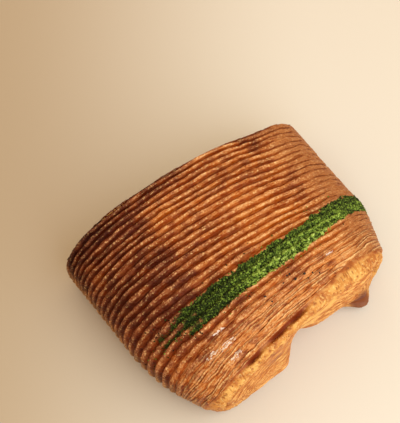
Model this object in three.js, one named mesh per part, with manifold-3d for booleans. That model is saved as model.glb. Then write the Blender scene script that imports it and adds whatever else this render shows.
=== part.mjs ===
// Half of a pain suisse: a flat roll of laminated dough, scored with fine ridges and
// rolled round a matcha filling, baked and then cut across parallel to the ridges.
// Millimetres, +Z up. +X runs along the ridges, +Y points at the cut face and -Y at
// the folded end. The origin is on the base, under the middle of the piece.
import * as THREE from 'three';
import { mergeVertices } from 'three/addons/utils/BufferGeometryUtils.js';
import Module from 'manifold-3d';

const wasm = await Module();
wasm.setup();

// --- driving dimensions ---

// The cross-section, as it shows at the cut.
const HALF_WIDTH = 46;
const WAIST_Z = 13;
const CROWN_HEIGHT = 26.1;
const BELLY_DEPTH = 14.5;
const CROWN_POWER = 2.25;
const BELLY_POWER = 4;
const SHOULDER = { x: 28, spread: 11, drop: 3.2 };

// The run from the cut to the edge of the top sheet, and how the hoops change on it.
const LENGTH = 61;
const CUT_Y = 34.142;
const AXIS_X = -2.38;
const WIDTH_AT_CUT = 0.985;
const HEIGHT_AT_CUT = 0.972;
const HEIGHT_LOSS = 0.0026;
const DOME = 0.012;
const NARROWING = { from: 36, amount: 0.135, power: 1.5 };
const SIDE_DRIFT = { start: 0.7, slope: 0.075, end: 2 };
const FAN = { from: 22, to: 64, angle: THREE.MathUtils.degToRad(10.5) };

// The scored ridges.
const PITCH = { atCut: 1.9, middle: 2.35, atEnd: 2.5 };
const PITCH_CHANGE = { first: 12, second: 38, blend: 8 };
const FIRST_CREST = 1.14;
const GROOVE_DEPTH = 1.05;
const EDGE_DEPTH = { atCut: 0.4, atEnd: 0.2 };
const RIDGE_UNEVENNESS = 0.16;
const RIDGES_FADE_DOWN = { from: 9, to: 1 };
const RIGHT_SMOOTHING = { fromX: 30, amount: 0.5 };

// The band of powder that lies on the ridges.
const POWDER = { from: 36.5, to: 43, blend: 1.2, height: 0.35, fadeFromX: -30, fadeToX: -42 };

// The folded end: flaps that bulge, the notch between them and the rings of layers.
const FLAPS = [
  { x: -12, z: 10, wide: 13, high: 9, out: 2.0 },
  { x: 25, z: 13, wide: 13, high: 9, out: 1.8 },
  { x: -2.5, z: 12, wide: 4, high: 7, out: 1.6 },
  { x: 31.5, z: 3, wide: 4.5, high: 4, out: 4.4 },
  { x: 4.5, z: 3, wide: 4.6, high: 12, out: -7.6 },
  { x: -36, z: 0, wide: 9, high: 10, out: -4.4 },
  { x: -32, z: 10, wide: 6, high: 9, out: -1.8 },
  { x: -14, z: 0, wide: 9, high: 7, out: -1.8 },
  { x: 18, z: 0, wide: 12, high: 8.5, out: -5.6 },
  { x: 42, z: 8, wide: 6, high: 11, out: -2.2 },
];
const FLAP_REACH = 17;
const CREVICES = [
  { x: 3, wide: 8 },
  { x: -14, wide: 5 },
  { x: -25, wide: 4 },
];
const CREVICE_HEIGHTS = { from: 14, to: 22 };
const END_LAYERS = [
  { inset: 0.7, out: 0.5, crevice: 1.9 },
  { inset: 1.1, out: 1.6, crevice: 0 },
  { inset: 3.5, out: 2.7, crevice: 0 },
  { inset: 4.5, out: 2.0, crevice: 0 },
  { inset: 6.6, out: 2.6, crevice: 0 },
  { inset: 9.4, out: 2.0, crevice: 0 },
];
const END_CORE = { halfWidth: 27, z: 13 };

// The filling, as the cut shows it: a band that thins to the right.
const FILLING_TOP = [
  [38.8, 5.6], [37.2, 9.6], [33, 11.9], [26.3, 11.2], [20, 9.1], [12.3, 9.2],
  [7, 11.2], [3, 15], [-3, 14.9], [-10.3, 17.4], [-18, 18.6], [-23.5, 14.8],
  [-31.4, 13.8], [-35, 11.4], [-36.2, 8],
];
const FILLING_BASE = [[-36.2, 8], [-34, 4.6], [-26, 3.1], [0, 3.3], [26, 2.9], [35, 3.6], [38.8, 5.6]];
const FILLING_LENGTH = 46;
const FILLING_NOSE = 9;
const FILLING_NOSE_WIDTH = 0.75;
const FILLING_MIDDLE_Z = 8;
const FILLING_LUMPS = { height: 0.35, fromZ: 4, toZ: 9 };
const FIT_GAP = 0.3;

// The hollows that proving left, each an uneven ellipsoid centred on the cut.
const HOLLOWS = [
  { x: -2.5, z: 28.6, tilt: 4, half: [24, 22, 4.9] },
  { x: 29.2, z: 16.8, tilt: -3, half: [13.2, 18, 5.7] },
  { x: 9.4, z: 14.6, tilt: 20, half: [6.4, 14, 5.9] },
  { x: -27.7, z: 17.7, tilt: 0, half: [5.6, 11, 4.3] },
];
const HOLLOW_UNEVENNESS = 0.045;
const HOLLOW_WAVES = { alongX: 9, alongY: 5, alongZ: 7 };

// How finely the curved faces are cut into flat ones.
const AROUND = 54;
const CURVE_STEPS = 400;
const FILLING_AROUND = 18;
const FILLING_STEP = 6;
const NOSE_ANGLES = [25, 45, 62, 78];
const HOLLOW_DETAIL = 5;

// --- the form of the pastry ---

function smoothstep(from, to, value) {
  return THREE.MathUtils.smoothstep(value, from, to);
}

function hill(distance, spread) {
  return Math.exp(-((distance / spread) ** 2));
}

// A repeatable number from -1 to 1 for any two counters.
function unevenness(first, second) {
  const value = Math.sin(first * 12.9898 + second * 78.233) * 43758.5453;
  return (value - Math.floor(value)) * 2 - 1;
}

// Half of the section, from the right side to the left, in even steps.
function halfSection(isCrown, steps) {
  const power = isCrown ? CROWN_POWER : BELLY_POWER;
  const points = [];
  for (let step = 0; step <= CURVE_STEPS; step += 1) {
    const angle = (Math.PI * step) / CURVE_STEPS;
    const rise = Math.abs(Math.sin(angle)) ** (2 / power);
    const x = HALF_WIDTH * Math.sign(Math.cos(angle)) * Math.abs(Math.cos(angle)) ** (2 / power);
    const shoulder = SHOULDER.drop * hill(x - SHOULDER.x, SHOULDER.spread) * Math.sin(angle);
    const z = isCrown
      ? WAIST_Z + CROWN_HEIGHT * rise - shoulder
      : Math.max(0, WAIST_Z - BELLY_DEPTH * rise);
    points.push(new THREE.Vector2(x, z));
  }
  const path = new THREE.CurvePath();
  for (let step = 0; step < CURVE_STEPS; step += 1) {
    path.add(new THREE.LineCurve(points[step], points[step + 1]));
  }
  return path.getSpacedPoints(steps);
}

// The closed section with its outward normals: over the crown, then back under it.
function closedSection() {
  const crown = halfSection(true, AROUND / 2);
  const belly = halfSection(false, AROUND / 2).reverse();
  const points = [...crown.slice(0, -1), ...belly.slice(0, -1)];
  return points.map((point, index) => {
    const before = points[(index + AROUND - 1) % AROUND];
    const after = points[(index + 1) % AROUND];
    const along = after.clone().sub(before).normalize();
    return { x: point.x, z: point.y, normalX: along.y, normalZ: -along.x };
  });
}

// How far the folded end stands out, or is drawn in, at one place on it.
function flapRelief(x, z) {
  let out = 0;
  for (const flap of FLAPS) {
    out += flap.out * hill(x - flap.x, flap.wide) * hill(z - flap.z, flap.high);
  }
  return out;
}

// A point of the section, set at its distance from the cut.
function place(x, z, distance, out = 0) {
  const narrow = Math.max(0, distance - NARROWING.from) / (LENGTH - NARROWING.from);
  const width = WIDTH_AT_CUT - NARROWING.amount * narrow ** NARROWING.power;
  const arch = DOME * Math.sin((Math.PI * distance) / LENGTH);
  const height = HEIGHT_AT_CUT - HEIGHT_LOSS * distance + arch;
  const drift = SIDE_DRIFT.start + SIDE_DRIFT.slope * distance + SIDE_DRIFT.end * (distance / LENGTH) ** 4;
  const angle = FAN.angle * smoothstep(FAN.from, FAN.to, distance);
  const acrossX = x * width + drift;
  const placedZ = z * height;
  const reach = smoothstep(LENGTH - FLAP_REACH, LENGTH, distance);
  const forward = out + flapRelief(acrossX, placedZ) * reach;
  return new THREE.Vector3(
    AXIS_X + acrossX * Math.cos(angle) + forward * Math.sin(angle),
    CUT_Y - distance + acrossX * Math.sin(angle) - forward * Math.cos(angle),
    placedZ,
  );
}

function pitchAt(distance) {
  const blend = PITCH_CHANGE.blend;
  const toMiddle = smoothstep(PITCH_CHANGE.first - blend, PITCH_CHANGE.first + blend, distance);
  const toEnd = smoothstep(PITCH_CHANGE.second - blend, PITCH_CHANGE.second + blend, distance);
  const early = THREE.MathUtils.lerp(PITCH.atCut, PITCH.middle, toMiddle);
  return THREE.MathUtils.lerp(early, PITCH.atEnd, toEnd);
}

// The hoops: one on the crest of each ridge and one in each groove.
function ridgeHoops() {
  const hoops = [{ distance: 0, depth: EDGE_DEPTH.atCut }];
  let crest = FIRST_CREST;
  let number = 0;
  while (crest + pitchAt(crest) < LENGTH) {
    const pitch = pitchAt(crest);
    const grooveDepth = GROOVE_DEPTH + RIDGE_UNEVENNESS * unevenness(number, 2);
    hoops.push({ distance: crest, depth: RIDGE_UNEVENNESS * (1 + unevenness(number, 1)) });
    hoops.push({ distance: crest + pitch / 2, depth: grooveDepth });
    crest += pitch;
    number += 1;
  }
  hoops.push({ distance: LENGTH, depth: EDGE_DEPTH.atEnd });
  return hoops;
}

function hoopRing(section, hoop) {
  return section.map((point) => {
    const aboveBase = smoothstep(RIDGES_FADE_DOWN.to, RIDGES_FADE_DOWN.from, point.z);
    const side = 1 - RIGHT_SMOOTHING.amount * smoothstep(RIGHT_SMOOTHING.fromX, HALF_WIDTH, point.x);
    const inBand = smoothstep(POWDER.from - POWDER.blend, POWDER.from, hoop.distance)
      * (1 - smoothstep(POWDER.to, POWDER.to + POWDER.blend, hoop.distance));
    const powder = POWDER.height * inBand * smoothstep(POWDER.fadeToX, POWDER.fadeFromX, point.x);
    const shift = (powder - hoop.depth * side) * aboveBase;
    return place(point.x + point.normalX * shift, point.z + point.normalZ * shift, hoop.distance);
  });
}

// One ring of the folded end, drawn in from the edge of the top sheet to its core.
function endRing(section, layer) {
  return section.map((point) => {
    const coreX = THREE.MathUtils.clamp(point.x, -END_CORE.halfWidth, END_CORE.halfWidth);
    const inward = new THREE.Vector2(coreX - point.x, END_CORE.z - point.z);
    const onTop = smoothstep(CREVICE_HEIGHTS.from, CREVICE_HEIGHTS.to, point.z);
    let opening = 0;
    for (const gap of CREVICES) {
      opening += hill(point.x - gap.x, gap.wide) * onTop;
    }
    const share = (layer.inset + layer.crevice * opening) / inward.length();
    return place(point.x + inward.x * share, point.z + inward.y * share, LENGTH, layer.out);
  });
}

// --- closed meshes and solids ---

// Rings of equal count become a closed skin. Both ends are closed by rungs between
// the upper and the lower half of the ring.
function skinGeometry(rings) {
  const count = rings[0].length;
  const indices = [];
  for (let row = 0; row < rings.length - 1; row += 1) {
    for (let column = 0; column < count; column += 1) {
      const next = (column + 1) % count;
      const a = row * count + column;
      const b = row * count + next;
      const c = (row + 1) * count + next;
      const d = (row + 1) * count + column;
      indices.push(a, b, c, a, c, d);
    }
  }
  const last = (rings.length - 1) * count;
  for (let rung = 0; rung < count / 2; rung += 1) {
    const upper = rung;
    const upperNext = rung + 1;
    const lower = (count - rung) % count;
    const lowerNext = count - rung - 1;
    if (rung > 0) {
      indices.push(upper, lower, upperNext);
      indices.push(last + upper, last + upperNext, last + lower);
    }
    if (upperNext !== lowerNext) {
      indices.push(lower, lowerNext, upperNext);
      indices.push(last + lower, last + upperNext, last + lowerNext);
    }
  }
  const positions = rings.flat().flatMap((point) => [point.x, point.y, point.z]);
  const geometry = new THREE.BufferGeometry();
  geometry.setAttribute('position', new THREE.Float32BufferAttribute(positions, 3));
  geometry.setIndex(indices);
  return geometry;
}

function toSolid(geometry) {
  return new wasm.Manifold(new wasm.Mesh({
    numProp: 3,
    vertProperties: new Float32Array(geometry.getAttribute('position').array),
    triVerts: new Uint32Array(geometry.getIndex().array),
  }));
}

function toMesh(solid, name, material) {
  const result = solid.getMesh();
  const geometry = new THREE.BufferGeometry();
  geometry.setAttribute('position', new THREE.BufferAttribute(new Float32Array(result.vertProperties), 3));
  geometry.setIndex(new THREE.BufferAttribute(new Uint32Array(result.triVerts), 1));
  geometry.computeVertexNormals();
  const mesh = new THREE.Mesh(geometry, material);
  mesh.name = name;
  return mesh;
}

// --- the pieces ---

function roll() {
  const section = closedSection();
  const rings = ridgeHoops().map((hoop) => hoopRing(section, hoop));
  for (const layer of END_LAYERS) {
    rings.push(endRing(section, layer));
  }
  return toSolid(skinGeometry(rings));
}

function hollow(shape, number) {
  const ball = new THREE.IcosahedronGeometry(1, HOLLOW_DETAIL);
  ball.deleteAttribute('normal');
  ball.deleteAttribute('uv');
  const geometry = mergeVertices(ball, 1e-4);
  const position = geometry.getAttribute('position');
  for (let index = 0; index < position.count; index += 1) {
    const point = new THREE.Vector3().fromBufferAttribute(position, index);
    const acrossWave = Math.sin(point.x * HOLLOW_WAVES.alongX + number);
    const upWave = Math.sin(point.z * HOLLOW_WAVES.alongZ + point.y * HOLLOW_WAVES.alongY + number * 2);
    point.multiplyScalar(1 + HOLLOW_UNEVENNESS * (acrossWave + upWave));
    position.setXYZ(index, point.x, point.y, point.z);
  }
  geometry.scale(...shape.half);
  geometry.rotateY(-THREE.MathUtils.degToRad(shape.tilt));
  const centre = place(shape.x, shape.z, 0);
  geometry.translate(centre.x, centre.y, centre.z);
  return toSolid(geometry);
}

// The filling's outline, grown by a margin, with as many points above as below.
function fillingOutline(margin) {
  const top = new THREE.SplineCurve(FILLING_TOP.map(([x, z]) => new THREE.Vector2(x, z)));
  const base = new THREE.SplineCurve(FILLING_BASE.map(([x, z]) => new THREE.Vector2(x, z)));
  const above = top.getSpacedPoints(FILLING_AROUND);
  const below = base.getSpacedPoints(FILLING_AROUND);
  const points = [...above.slice(0, -1), ...below.slice(0, -1)];
  return points.map((point, index) => {
    const before = points[(index + points.length - 1) % points.length];
    const after = points[(index + 1) % points.length];
    const along = after.clone().sub(before).normalize();
    return new THREE.Vector2(point.x + along.y * margin, point.y - along.x * margin);
  });
}

// The band of filling, from a start before or on the cut to its blunt nose.
function fillingBand(margin, start) {
  const outline = fillingOutline(margin);
  const noseStart = FILLING_LENGTH + margin - FILLING_NOSE;
  const stations = [start];
  for (let distance = FILLING_STEP / 2; distance < noseStart - 1; distance += FILLING_STEP) {
    stations.push(distance);
  }
  stations.push(noseStart);
  for (const angle of NOSE_ANGLES) {
    stations.push(noseStart + FILLING_NOSE * Math.sin(THREE.MathUtils.degToRad(angle)));
  }
  const rings = stations.map((distance, number) => {
    const nose = Math.max(0, distance - noseStart) / FILLING_NOSE;
    const shrink = Math.sqrt(1 - nose ** 2);
    return outline.map((point, index) => {
      const wave = number > 0 ? Math.sin(index * 1.7 + number * 2.1) : 0;
      const onTop = smoothstep(FILLING_LUMPS.fromZ, FILLING_LUMPS.toZ, point.y);
      const lump = FILLING_LUMPS.height * wave * onTop;
      const x = point.x * THREE.MathUtils.lerp(FILLING_NOSE_WIDTH, 1, shrink);
      const z = FILLING_MIDDLE_Z + (point.y - FILLING_MIDDLE_Z + lump) * shrink;
      return place(x, z, distance);
    });
  });
  return toSolid(skinGeometry(rings));
}

const doughMaterial = new THREE.MeshStandardMaterial({ color: 0xa8601f, roughness: 0.55, metalness: 0 });
const fillingMaterial = new THREE.MeshStandardMaterial({ color: 0x3f5a1c, roughness: 0.6, metalness: 0 });

const hollows = HOLLOWS.map(hollow);
let doughSolid = roll().subtract(fillingBand(FIT_GAP, -2));
let fillingSolid = fillingBand(0, 0);
for (const space of hollows) {
  doughSolid = doughSolid.subtract(space);
  fillingSolid = fillingSolid.subtract(space);
}

const painSuisse = new THREE.Group();
painSuisse.add(toMesh(doughSolid, 'dough', doughMaterial));
painSuisse.add(toMesh(fillingSolid, 'matcha_filling', fillingMaterial));

export default painSuisse;
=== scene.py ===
"""Half of a pain suisse, cut across: a scored, laminated and egg-washed roll round a
matcha filling, with a band of matcha powder on its ridges."""

import math

import bmesh
import bpy
import numpy as np
from mathutils import Matrix, Vector


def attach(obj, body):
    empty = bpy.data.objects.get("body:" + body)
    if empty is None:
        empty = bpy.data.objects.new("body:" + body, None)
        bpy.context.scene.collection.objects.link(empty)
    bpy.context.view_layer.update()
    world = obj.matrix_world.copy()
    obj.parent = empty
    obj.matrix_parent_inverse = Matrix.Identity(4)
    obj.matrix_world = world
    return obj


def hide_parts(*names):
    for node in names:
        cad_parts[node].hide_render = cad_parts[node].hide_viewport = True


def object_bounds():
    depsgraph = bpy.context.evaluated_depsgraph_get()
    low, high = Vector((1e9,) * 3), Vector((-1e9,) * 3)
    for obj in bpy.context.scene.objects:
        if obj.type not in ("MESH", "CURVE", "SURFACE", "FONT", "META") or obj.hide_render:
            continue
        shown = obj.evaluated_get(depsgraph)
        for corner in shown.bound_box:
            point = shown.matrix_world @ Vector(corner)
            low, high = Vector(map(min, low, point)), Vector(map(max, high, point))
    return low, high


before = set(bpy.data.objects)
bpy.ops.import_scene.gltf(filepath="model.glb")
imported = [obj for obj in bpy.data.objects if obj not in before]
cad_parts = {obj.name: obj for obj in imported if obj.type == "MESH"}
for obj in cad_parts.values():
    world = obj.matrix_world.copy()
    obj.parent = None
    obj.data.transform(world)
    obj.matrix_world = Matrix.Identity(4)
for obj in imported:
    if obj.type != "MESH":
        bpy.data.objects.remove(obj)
cad_low, cad_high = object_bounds()


# --- Scored crust ---------------------------------------------------------------
# The outer sheet of laminated dough. It is scored with close parallel cuts, rolled
# with the cuts outside and egg-washed, and in the oven the cut edges open into
# ragged ridges. Sizes are in millimetres here and become metres in the mesh.

MM = 0.001

HALF_WIDTH = 46.0
WAIST_Z = 13.0
CROWN_HEIGHT, CROWN_POWER = 26.1, 2.25
BELLY_DEPTH, BELLY_POWER = 14.5, 4.0
BELLY_SHARE = 0.14  # of the way round, at each side
SHOULDER_X, SHOULDER_SPREAD, SHOULDER_DROP = 28.0, 11.0, 3.2
OUTLINE_STEPS = 1201
NORMAL_STEP = 0.0015
TINY = 1e-9

LENGTH = 61.0
CUT_Y = cad_high.y / MM
AXIS_X = -2.38
NARROWS_FROM = 36.0
WIDTH_AT_CUT, WIDTH_LOST = 0.985, 0.135
HEIGHT_AT_CUT, HEIGHT_LOST_PER_MM, HEIGHT_BULGE = 0.972, 0.0026, 0.012
DRIFT_AT_CUT, DRIFT_PER_MM, DRIFT_AT_END = 0.7, 0.075, 2.0
FAN_ANGLE, FAN_FROM, FAN_TO = math.radians(10.5), 22.0, 64.0
SHEET_FALLS_SHORT = ((27.0, 8.5, 2.6), (13.0, 8.0, 0.5))  # x, spread, by how much

FLAPS = (  # x, z, width, height, how far it stands out
    (-12.0, 10.0, 13.0, 9.0, 2.0),
    (25.0, 13.0, 13.0, 9.0, 1.8),
    (-2.5, 12.0, 4.0, 7.0, 1.6),
    (31.5, 3.0, 4.5, 4.0, 4.4),
    (4.5, 3.0, 4.6, 12.0, -7.6),
    (-36.0, 0.0, 9.0, 10.0, -4.4),
    (-32.0, 10.0, 6.0, 9.0, -1.8),
    (-14.0, 0.0, 9.0, 7.0, -1.8),
    (18.0, 0.0, 12.0, 8.5, -5.6),
    (42.0, 8.0, 6.0, 11.0, -2.2),
)
FLAP_REACH = 17.0

PITCH_AT_CUT, PITCH_MIDDLE, PITCH_AT_END = 1.9, 2.35, 2.5
PITCH_WIDENS, PITCH_WIDENS_AGAIN = (4, 20), (30, 46)  # distances from the cut
FIRST_CREST_AT = 0.6  # of a pitch
CRESTS_PAST_END = 4.0
WAY_ROUND = 230.0  # along the section, for the size of what runs round it
SLATS_BEGIN, SLATS_FULL, SLATS_MOST = 45.0, 57.0, 0.9
FLANK_BEGINS, FLANK_FULL = 22.0, 40.0
GROOVE_DEPTH, SPLIT_DEPTH = 1.05, 0.4
RAGGED_RELIEF, BLISTER_RELIEF, THREAD_RELIEF, RIDGE_LINE_RELIEF = 0.14, 0.1, 0.12, 0.1
POWDER_THICKNESS, SKIN_INSET = 0.3, 0.3
POWDER_FROM, POWDER_TO = 38.4, 45.2
# Places on the sugar glaze that are painted with whitish highlights.
GLAZE_HIGHLIGHTS = (  # distance from the cut, x, half width, half length
    (53.4, -27.0, 0.9, 3.6), (49.1, -25.6, 0.6, 2.4), (52.4, -33.0, 0.7, 2.6),
    (57.4, -28.4, 0.9, 3.4), (51.7, 22.0, 0.6, 1.9),
)


def smoothstep(low, high, value):
    """Rises from 0 at low to 1 at high, easing at both ends."""
    share = np.clip((np.asarray(value) - low) / (high - low), 0, 1)
    return share * share * (3 - 2 * share)


def hill(distance, spread):
    """A smooth bump: 1 at no distance, and near 0 from twice the spread."""
    return np.exp(-(distance / spread) ** 2)


LATTICE = 128  # cells along each side, before the noise repeats


def noise(x, y, seed):
    """Smooth random values from -1 to 1 over a plane, the same on every run."""
    corners = np.random.default_rng(seed).uniform(-1, 1, (LATTICE, LATTICE))
    x, y = np.broadcast_arrays(x, y)
    column, row = np.floor(x).astype(int), np.floor(y).astype(int)
    across, up = smoothstep(0, 1, x - column), smoothstep(0, 1, y - row)
    column, row = column % LATTICE, row % LATTICE
    next_column, next_row = (column + 1) % LATTICE, (row + 1) % LATTICE
    low = corners[row, column] * (1 - across) + corners[row, next_column] * across
    high = corners[next_row, column] * (1 - across) + corners[next_row, next_column] * across
    return low * (1 - up) + high * up


def half_outline(power, rise, is_crown):
    """Half of the section from the right side to the left, and its share of the way."""
    angle = np.linspace(0, math.pi, OUTLINE_STEPS)
    lift = rise * np.sin(angle).clip(0) ** (2 / power)
    x = HALF_WIDTH * np.sign(np.cos(angle)) * np.abs(np.cos(angle)) ** (2 / power)
    if is_crown:
        z = WAIST_Z + lift - SHOULDER_DROP * hill(x - SHOULDER_X, SHOULDER_SPREAD) * np.sin(angle)
    else:
        z = np.maximum(0, WAIST_Z - lift)
    way = np.concatenate(([0], np.cumsum(np.hypot(np.diff(x), np.diff(z)))))
    return x, z, way / way[-1]


CROWN = half_outline(CROWN_POWER, CROWN_HEIGHT, True)
BELLY = half_outline(BELLY_POWER, BELLY_DEPTH, False)


def section(u):
    """The closed section: u runs 0 to 1 from under the middle, up the right side,
    over the crown and back under the left side."""
    on_crown = (u >= BELLY_SHARE) & (u <= 1 - BELLY_SHARE)
    crown_way = (u - BELLY_SHARE) / (1 - 2 * BELLY_SHARE)
    belly_way = np.where(u < 0.5, 0.5 - 0.5 * u / BELLY_SHARE, 0.5 + 0.5 * (1 - u) / BELLY_SHARE)
    return [
        np.where(on_crown, np.interp(crown_way, CROWN[2], crown), np.interp(belly_way, BELLY[2], belly))
        for crown, belly in zip(CROWN[:2], BELLY[:2])
    ]


def section_normal(u):
    """The direction out of the section, across and up."""
    x_after, z_after = section((u + NORMAL_STEP) % 1)
    x_before, z_before = section((u - NORMAL_STEP) % 1)
    run, rise = x_after - x_before, z_after - z_before
    size = np.hypot(run, rise) + TINY
    return rise / size, -run / size


def flap_relief(x, z):
    """How far the folded flaps stand out at the end of the roll."""
    return sum(
        stands * hill(x - flap_x, wide) * hill(z - flap_z, high)
        for flap_x, flap_z, wide, high, stands in FLAPS
    )


def spread_at(x, z, distance):
    """How far a point of the section lies across and up, at its distance from the cut."""
    narrow = np.maximum(0, distance - NARROWS_FROM) / (LENGTH - NARROWS_FROM)
    width = WIDTH_AT_CUT - WIDTH_LOST * narrow ** 1.5
    height = HEIGHT_AT_CUT - HEIGHT_LOST_PER_MM * distance
    height = height + HEIGHT_BULGE * np.sin(math.pi * distance / LENGTH)
    drift = DRIFT_AT_CUT + DRIFT_PER_MM * distance + DRIFT_AT_END * (np.abs(distance) / LENGTH) ** 4
    return x * width + drift, z * height


def place(x, z, distance, out=0.0):
    """Sets a point of the section at its distance from the cut, in the part's frame."""
    across, up = spread_at(x, z, distance)
    angle = FAN_ANGLE * smoothstep(FAN_FROM, FAN_TO, distance)
    reach = smoothstep(LENGTH - FLAP_REACH, LENGTH, distance)
    forward = out + flap_relief(across, up) * reach
    placed_x = AXIS_X + across * np.cos(angle) + forward * np.sin(angle)
    placed_y = CUT_Y - distance + across * np.sin(angle) - forward * np.cos(angle)
    return placed_x, placed_y, up


def pitch_at(distance):
    """From one ridge to the next: it widens away from the cut, in two steps."""
    early = PITCH_AT_CUT + (PITCH_MIDDLE - PITCH_AT_CUT) * smoothstep(*PITCH_WIDENS, distance)
    return early + (PITCH_AT_END - early) * smoothstep(*PITCH_WIDENS_AGAIN, distance)


CRESTS = [pitch_at(0) * FIRST_CREST_AT]
while CRESTS[-1] + pitch_at(CRESTS[-1]) < LENGTH + CRESTS_PAST_END:
    CRESTS.append(CRESTS[-1] + pitch_at(CRESTS[-1]))
CRESTS = np.array([CRESTS[0] - pitch_at(0)] + CRESTS)


def sheet_edge(x):
    """Where the scored sheet ends: a little short over the right flap."""
    return LENGTH - sum(short * hill(x - at, wide) for at, wide, short in SHEET_FALLS_SHORT)


def powder_edges(x):
    """The two edges of the powder band: it slants and narrows a little at both sides."""
    upper = POWDER_FROM - 3.6 * smoothstep(12, 36, x)
    lower = POWDER_TO + hill(x - 8, 9) - 2.6 * smoothstep(17, 32, x) - 2 * (1 - smoothstep(-42, -27, x))
    return upper, lower


def powder_share(x, z, arc, distance, groove):
    """How thickly powder lies: a band with ragged edges that thins towards the left,
    last of all in the grooves."""
    upper, lower = powder_edges(x)
    ragged = distance + 0.5 * noise(arc / 1.1, distance / 0.8, 8)
    ragged = ragged + 0.5 * noise(arc / 3.4, distance / 2.4, 14)
    share = smoothstep(upper - 0.7, upper + 0.5, ragged) * (1 - smoothstep(lower - 0.5, lower + 0.7, ragged))
    cover = smoothstep(-50, -20, x + 6 * noise(arc / 3, distance / 3, 10) + 9 * groove - 4)
    return share * cover * smoothstep(4, 12, z)


def ridges(arc, distance, flank, slatted):
    """The ridge that a point lies on: its number, the place across it from -0.5 to 0.5,
    its raggedness, how far down in the groove the point is, and how open the crack is."""
    wander = 0.42 * noise(arc / 17, distance / 5, 1) + 0.2 * noise(arc / 4.2, distance / 1.9, 2)
    wander = wander + 0.45 * slatted * noise(arc / 34, distance / 3.1, 9)
    phase = np.interp(distance + wander, CRESTS, np.arange(len(CRESTS)))
    number = np.round(phase)
    local = phase - number
    ragged = noise(arc / 0.6, number * 9.1 + local * 5.0, 6)
    ragged = ragged + 0.7 * noise(arc / 1.4, number * 5.7 + local * 2, 12)
    from_middle = np.abs(2 * local) + 0.15 * ragged
    rounded = smoothstep(0.2 + 0.3 * flank, 1.0, from_middle)
    rounded = rounded * (1 - flank * smoothstep(0.4, -0.3, noise(arc / 6, number * 4.4, 16)))
    open_crack = 0.25 + 0.75 * smoothstep(-0.3, 0.45, noise(arc / 9, number * 3.1, 13))
    slat = 0.8 * open_crack * smoothstep(0.66, 1.0, from_middle) + 0.2 * (local + 0.5)
    groove = rounded + (slat - rounded) * slatted
    return number, local, ragged, groove, open_crack


def baking_and_shade(arc, distance, left_side):
    """How dark the crust is, from deeper baking and from painted shade: most at the left side and along the
    cut.
    """
    # Deeper baking and painted shade together, on the left side and along the cut.
    bake_and_shade = 0.24 + 0.5 * left_side * (1 - 0.62 * smoothstep(34, 54, distance))
    return bake_and_shade + 0.22 * (1 - smoothstep(0, 13, distance)) + 0.15 * noise(arc / 15, distance / 12, 11)


def skin(u, distance):
    """The scored sheet at a distance from the cut: its section points, and what its
    finish needs to know there."""
    x, z = section(u)
    normal_x, normal_z = section_normal(u)
    arc = u * WAY_ROUND
    slatted = SLATS_MOST * smoothstep(SLATS_BEGIN, SLATS_FULL, distance)
    flank = smoothstep(FLANK_BEGINS, FLANK_FULL, x)
    number, local, ragged, groove, open_crack = ridges(arc, distance, flank, slatted)

    crest = smoothstep(0.5, 0.14, groove)
    split_at = 0.06 + 0.26 * noise(arc / 18, number * 3.7, 4) + 0.03 * ragged
    has_split = smoothstep(-0.5, 0.2, noise(arc / 12, number * 2.3, 5)) * (0.1 + 0.9 * slatted)
    split = hill(local - split_at, 0.06) * has_split
    thread = noise(arc / 5, number * 7.7 + local * 6.5, 17) * smoothstep(0.8, 0.4, groove)
    ridge_line = hill(local - 0.12 * noise(arc / 7, number * 2.7, 18) + 0.04 * ragged, 0.12)
    ridge_line = ridge_line * smoothstep(-0.5, 0.1, noise(arc / 3.2, number * 8.3, 19)) * (1 - 0.8 * flank)
    blister = noise(arc / 2.6, number * 4.9 + local * 1.3, 7) * (1 - groove)
    in_powder = powder_share(x, z, arc, distance, groove)

    shift = -GROOVE_DEPTH * groove * (1 + 0.22 * noise(arc / 22, number * 5.3, 3))
    shift = shift * (1 - 0.62 * flank) * (1 - 0.3 * slatted)
    shift = shift - SPLIT_DEPTH * split + RAGGED_RELIEF * ragged * crest * (1 - 0.5 * slatted)
    shift = shift + BLISTER_RELIEF * blister + THREAD_RELIEF * thread + RIDGE_LINE_RELIEF * ridge_line
    shift = shift + POWDER_THICKNESS * in_powder * (1 - flank) - SKIN_INSET
    shift = shift * smoothstep(1, 9, z)

    light = crest * (0.86 + 0.3 * ragged * (1 - flank)) - 0.6 * split
    # A painted highlight along the raised edge of each slat, and beside each split.
    brink_highlight = hill(local + 0.41 + 0.04 * ragged, 0.09)
    brink_highlight = brink_highlight * smoothstep(-0.6, 0.1, noise(arc / 5, number * 6.1, 15))
    brink_highlight = brink_highlight + hill(local - split_at - 0.12, 0.07) * has_split
    crack = hill(np.abs(local) - 0.5, 0.045) * open_crack * slatted
    left_side = 1 - smoothstep(-46, 4, x)
    glaze_highlight = sum(hill(x - at_x, long) * hill(distance - at, wide) for at, at_x, wide, long in GLAZE_HIGHLIGHTS)
    values = {
        "crest": np.clip(light, 0, 1), "ridge_line": ridge_line, "brink_highlight": np.clip(brink_highlight * slatted, 0, 1),
        "bake_and_shade": np.clip(baking_and_shade(arc, distance, left_side), 0, 1), "powder": in_powder,
        "pale": 1 - smoothstep(2, 12 + 7 * left_side, z), "glaze_highlight": np.clip(glaze_highlight, 0, 1),
        "slats": slatted, "flank": flank, "split": np.clip(0.8 * split + 0.6 * crack, 0, 1),
        "layout": np.stack([arc, distance, number], axis=1),
    }
    return x + normal_x * shift, z + normal_z * shift, values


WELD_DISTANCE = 0.000002


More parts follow.
